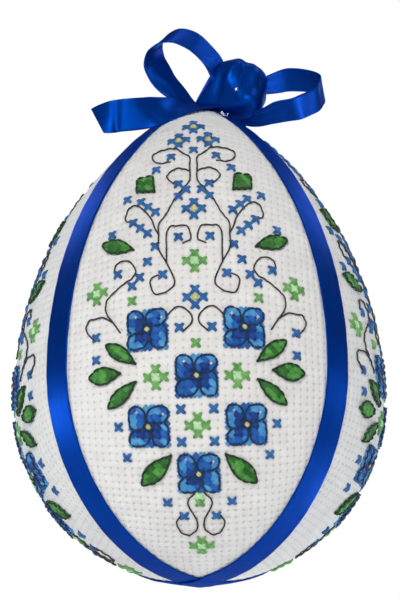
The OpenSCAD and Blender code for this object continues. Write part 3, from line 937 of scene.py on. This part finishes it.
def bow_knot():
    """The soft wrap at the middle of the bow, with the folds of a pulled ribbon."""
    balls = np.array(KNOT, float)
    heart = balls[:, :3].mean(0)
    lat = np.linspace(-np.pi / 2, np.pi / 2, KNOT_RINGS + 2)[1:-1]
    lon = np.linspace(0, 2 * np.pi, KNOT_SIDES, endpoint=False)
    la, lo = np.meshgrid(lat, lon, indexing="ij")
    rays = np.stack([np.cos(la) * np.cos(lo), np.cos(la) * np.sin(lo), np.sin(la)], -1).reshape(-1, 3)
    rays = np.concatenate([rays, [[0, 0, -1], [0, 0, 1]]])
    k = np.arange(KNOT_RAYS)
    tilt = np.arccos(1 - 2 * (k + 0.5) / KNOT_RAYS)
    spin = np.pi * (1 + 5**0.5) * k
    faces_out = np.stack([np.cos(spin) * np.sin(tilt), np.sin(spin) * np.sin(tilt), np.cos(tilt)], -1)
    support = np.max(faces_out @ (balls[:, :3] - heart).T + balls[:, 3], axis=1)
    facing = rays @ faces_out.T
    reach = np.min(np.where(facing > 0.05, support / np.maximum(facing, 0.05), 1e9), axis=1)
    points = heart + rays * reach[:, None]
    front = np.clip((-rays[:, 1] + 0.25) / 0.6, 0, 1)
    rise = np.zeros(len(points))
    flat = points[:, [0, 2]]
    for upper, lower, width, height in FOLDS:
        a = np.array(upper)
        run = np.array(lower) - a
        t = np.clip((flat - a) @ run / (run @ run), 0, 1)
        away = np.linalg.norm(flat - a - t[:, None] * run, axis=1)
        fade = np.sin(np.pi * np.clip(0.12 + 0.76 * t, 0, 1))
        rise += height * np.exp(-((away / width) ** 2)) * fade
    points = points + rays * (rise * front)[:, None]
    index = np.arange(KNOT_RINGS * KNOT_SIDES).reshape(KNOT_RINGS, KNOT_SIDES)
    low = np.full(KNOT_SIDES, index.size)
    bottom = np.stack([np.roll(index[0], -1), index[0], low], -1)
    top = np.stack([index[-1], np.roll(index[-1], -1), low + 1], -1)
    run = np.stack([points[:, 2] * MM, points[:, 0] * MM, points[:, 1] * 0], -1)
    build = Build()
    build.add(points * MM + TIP, [band_quads(index[:-1], index[1:]), bottom, top])
    build.piece("bow_knot_wrap", "satin_ribbon", [SATIN], ["bow_knot"], "run", run)


def pin(name, profile, place, node):
    """A turned steel pin from a profile of (radius, height) pairs in millimetres."""
    sides = 24
    angle = 2 * np.pi * np.arange(sides) / sides
    circle = np.stack([np.cos(angle), np.sin(angle)], -1)
    rings = [
        np.concatenate([circle * radius, np.full((sides, 1), height)], 1) for radius, height in profile
    ]
    points = np.array(rings).reshape(-1, 3) * MM
    points = np.array([place @ Vector(p) for p in points])
    build = Build()
    build.add(points, ring_faces(1, len(profile), sides))
    build.piece(name, "pin_steel", [STEEL], [node])


# In millimetres.
PIN_HEAD_R = 0.55


def pins():
    """The pin through the knot into the foam, and the one that lies under the knot."""
    head = [(PIN_HEAD_R * math.sin(a), PIN_HEAD_R * math.cos(a)) for a in np.linspace(0.15, 2.5, 12)]
    shaft = [(0.3, -0.62), (0.3, -14), (0.22, -16.2), (0.12, -17.4), (0.03, -18)]
    spot = Matrix.Translation(Vector((8.4, -9, 1.8)) * MM + Vector(TIP))
    lean = Matrix.Rotation(math.radians(27), 4, "Z") @ Matrix.Rotation(math.radians(50), 4, "X")
    pin("bow_pin_turned", head + shaft, spot @ lean, "bow_pin")
    spot = Matrix.Translation(Vector((4.9, -8.8, -3.5)) * MM + Vector(TIP))
    lean = Matrix.Rotation(math.radians(35.5), 4, "Z") @ Matrix.Rotation(math.radians(120), 4, "Y")
    shape = [(0.05, 0), (0.22, 0.06), (0.3, 0.2), (0.3, 3.9), (0.2, 4.6), (0.05, 5)]
    pin("bow_pin_low_turned", shape, spot @ lean, "bow_pin_low")


# ---------------------------------------------------------------- the object
for gore in GORES:
    aida_gore(gore)
    stitched_gore(gore)
seam_ribbon("seam_ribbon_lower", 45, "seam_ribbon_under", False)
seam_ribbon("seam_ribbon_upper", -45, "seam_ribbon_over", True)
bow_ribbon("bow_left_loop", LEFT_LOOP, "bow_loop_left", 0.6, 0.9,
           [(12.5, -2, 2.4, 0.4), (30, 1, 2.2, 0.15)])
bow_ribbon("bow_right_loop", RIGHT_LOOP, "bow_loop_right", 0.6, 0.8,
           [(8.5, 0.2, 1.6, 0.2), (21, 0, 1.4, -0.25), (29.5, -1, 1.8, 0.3)])
bow_ribbon("bow_left_tail", LEFT_TAIL, "bow_tail_left", 0.8, 0.0,
           [(17, 3, 1.6, 0.35), (26, -0.6, 1.0, 0.4)])
bow_ribbon("bow_back_tail", BACK_TAIL, "bow_tail_back", 0.8, 0.0,
           [(13, 0.5, 2, 0.25), (19, -0.8, 1.8, -0.2)])
bow_knot()
pins()
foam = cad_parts["foam_egg"]
foam.data.materials.clear()
foam.data.materials.append(FOAM)


# ---------------------------------------------------------------- floor and light
FLOOR_HALF = 3.0
FLOOR_Z = -0.18
# The floor's own light: what it throws on the egg, and what is seen directly.
FLOOR_GLOW = 0.16
FLOOR_SEEN = 0.76
# The room's light in front of the egg and behind it.
ROOM_FRONT = 0.22
ROOM_BACK = 0.1
LIGHTS_AIM = Vector((0, 0, 0.055))
COOL = (0.68, 0.84, 0.95)
PALE = (0.8, 0.9, 1)
WARM = (1, 0.955, 0.93)
NEUTRAL = (0.93, 0.965, 0.945)
# Square soft boxes: place and side in metres, power in watts, and colour.
SOFT_BOXES = {
    "front_box": ((-0.1, -0.78, 0.22), 0.4, 3.5, NEUTRAL),
    "upper_box": ((0.37, -0.1, 0.62), 0.12, 0.5, PALE),
    "ceiling_box": ((0.03, 0.05, 0.85), 0.2, 0.4, PALE),
    "left_low_box": ((-0.6, 0.04, -0.02), 0.1, 0.75, COOL),
    "left_high_box": ((-0.36, 0.3, 0.47), 0.12, 0.35, COOL),
    "right_low_box": ((0.6, 0.04, 0.06), 0.1, 0.3, COOL),
    "right_high_box": ((0.36, 0.3, 0.47), 0.12, 0.3, COOL),
    "right_under_box": ((0.3, 0.2, -0.12), 0.08, 0.4, COOL),
    "back_box": ((0.25, 0.8, 0.25), 0.5, 1.6, WARM),
}


def pale_floor():
    """A pale floor well below the egg. Seen directly it is pale to its far edge, while the light
    that it throws on the egg stays low."""
    corners = [(-1, -1), (1, -1), (1, 1), (-1, 1)]
    mesh = bpy.data.meshes.new("floor")
    mesh.from_pydata([(x * FLOOR_HALF, y * FLOOR_HALF, FLOOR_Z) for x, y in corners], [], [(0, 1, 2, 3)])
    floor = bpy.data.objects.new("floor", mesh)
    bpy.context.scene.collection.objects.link(floor)
    look = Shader("studio_floor", 0.8)
    tone = look.noise(look.place(), 3, 2)
    look.colour(look.ramp(tone, [(0.3, srgb(238, 238, 237)), (0.7, srgb(244, 244, 243))]))
    look.shader.inputs["Emission Color"].default_value = (1, 1, 1, 1)
    ray = look.nodes.new("ShaderNodeLightPath")
    glow = look.add("ShaderNodeMapRange", Value=ray.outputs["Is Camera Ray"])
    glow.inputs["To Min"].default_value = FLOOR_GLOW
    glow.inputs["To Max"].default_value = FLOOR_SEEN
    look.links.new(glow.outputs[0], look.shader.inputs["Emission Strength"])
    mesh.materials.append(look.material)


def white_room():
    """A white background, and a dimmer room whose light is weaker behind the egg than before it."""
    world = bpy.data.worlds.new("studio")
    bpy.context.scene.world = world
    world.use_nodes = True
    nodes = world.node_tree.nodes
    links = world.node_tree.links
    seen = nodes["Background"]
    seen.inputs["Color"].default_value = (1, 1, 1, 1)
    room = nodes.new("ShaderNodeBackground")
    room.inputs["Color"].default_value = (0.93, 0.96, 1, 1)
    direction = nodes.new("ShaderNodeTexCoord")
    split = nodes.new("ShaderNodeSeparateXYZ")
    fade = nodes.new("ShaderNodeMapRange")
    fade.inputs["From Min"].default_value = -1
    fade.inputs["From Max"].default_value = 1
    fade.inputs["To Min"].default_value = ROOM_FRONT
    fade.inputs["To Max"].default_value = ROOM_BACK
    links.new(direction.outputs["Generated"], split.inputs[0])
    links.new(split.outputs[1], fade.inputs["Value"])
    links.new(fade.outputs[0], room.inputs["Strength"])
    mix = nodes.new("ShaderNodeMixShader")
    path = nodes.new("ShaderNodeLightPath")
    links.new(path.outputs["Is Camera Ray"], mix.inputs[0])
    links.new(room.outputs[0], mix.inputs[1])
    links.new(seen.outputs[0], mix.inputs[2])
    links.new(mix.outputs[0], nodes["World Output"].inputs["Surface"])


def soft_box(name, place, side, power, colour):
    data = bpy.data.lights.new(name, "AREA")
    data.size = side
    data.energy = power
    data.color = colour
    light = bpy.data.objects.new(name, data)
    bpy.context.scene.collection.objects.link(light)
    light.location = place
    light.rotation_euler = (LIGHTS_AIM - light.location).to_track_quat("-Z", "Y").to_euler()


pale_floor()
bpy.context.scene.view_settings.view_transform = "Standard"
white_room()
for box, values in SOFT_BOXES.items():
    soft_box(box, *values)
